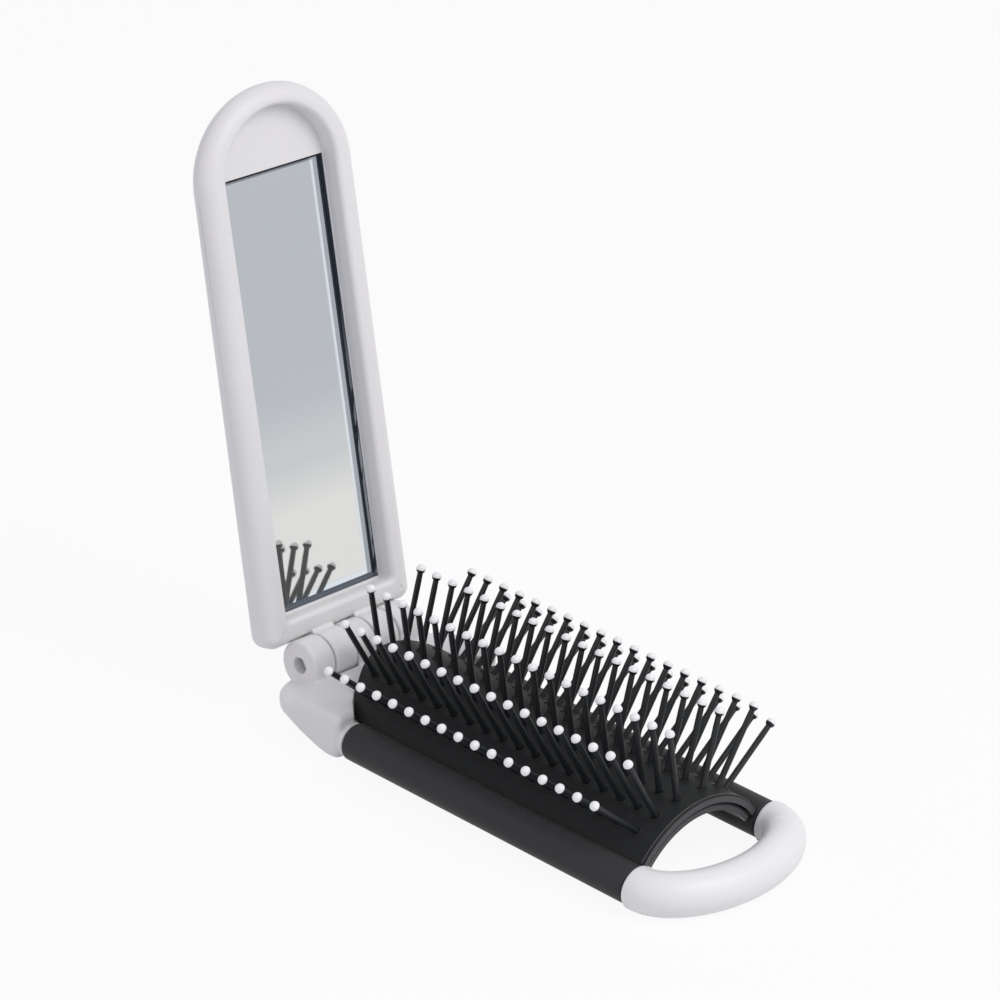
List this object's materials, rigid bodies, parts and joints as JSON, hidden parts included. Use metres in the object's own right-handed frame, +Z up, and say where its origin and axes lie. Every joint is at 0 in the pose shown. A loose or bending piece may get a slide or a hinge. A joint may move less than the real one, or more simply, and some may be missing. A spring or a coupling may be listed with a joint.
{
  "type": "folding pocket hair brush",
  "caption": "Folding pocket hair brush: arched bed of ball-tipped pins between dark side arms, end loop, and a hinged lid that holds a mirror.",
  "frame": {"origin": "middle of the underside of the bounding box, with the brush standing on its frame and its lid open as pictured", "axes": "+X from the lid hinge to the end loop, +Y across the brush, +Z up"},
  "size_m": [0.1208, 0.0434, 0.1026],
  "materials": {
    "white_plastic": "satin moulded",
    "dark_plastic": "fine matte",
    "bed_plastic": "matte",
    "pin_nylon": "satin",
    "steel": "drawn",
    "mirror_glass": "polished",
    "silvering": "mirror",
    "adhesive": "foam sheet"
  },
  "bodies": {
    "frame": {"hinge_block": "white_plastic", "end_loop": "white_plastic", "arm_core_near": "white_plastic", "arm_core_far": "white_plastic", "arm_sleeve_near": "dark_plastic", "arm_sleeve_far": "dark_plastic", "bed_plate": "bed_plastic", "pin_row_1": "pin_nylon", "pin_row_2": "pin_nylon", "pin_row_3": "pin_nylon", "pin_row_4": "pin_nylon", "pin_row_5": "pin_nylon", "pin_row_6": "pin_nylon"},
    "hinge_pin": {"hinge_pin": "steel"},
    "lid": {"lid_shell": "white_plastic", "mirror_glass": "mirror_glass", "mirror_silvering": "silvering", "mirror_tape": "adhesive"}
  },
  "joints": [
    {"name": "lid_open", "type": "hinge", "parent": "frame", "child": "hinge_pin", "pos_m": [-0.03283, 0, 0.0096], "axis": [0, -1, 0], "range_deg": [0, 76.6]},
    {"name": "lid_close", "type": "hinge", "parent": "hinge_pin", "child": "lid", "pos_m": [-0.03283, 0, 0.0096], "axis": [0, -1, 0], "range_deg": [-103.4, 0], "deforming": ["pin_row_1", "pin_row_2", "pin_row_3", "pin_row_4", "pin_row_5", "pin_row_6"]}
  ]
}
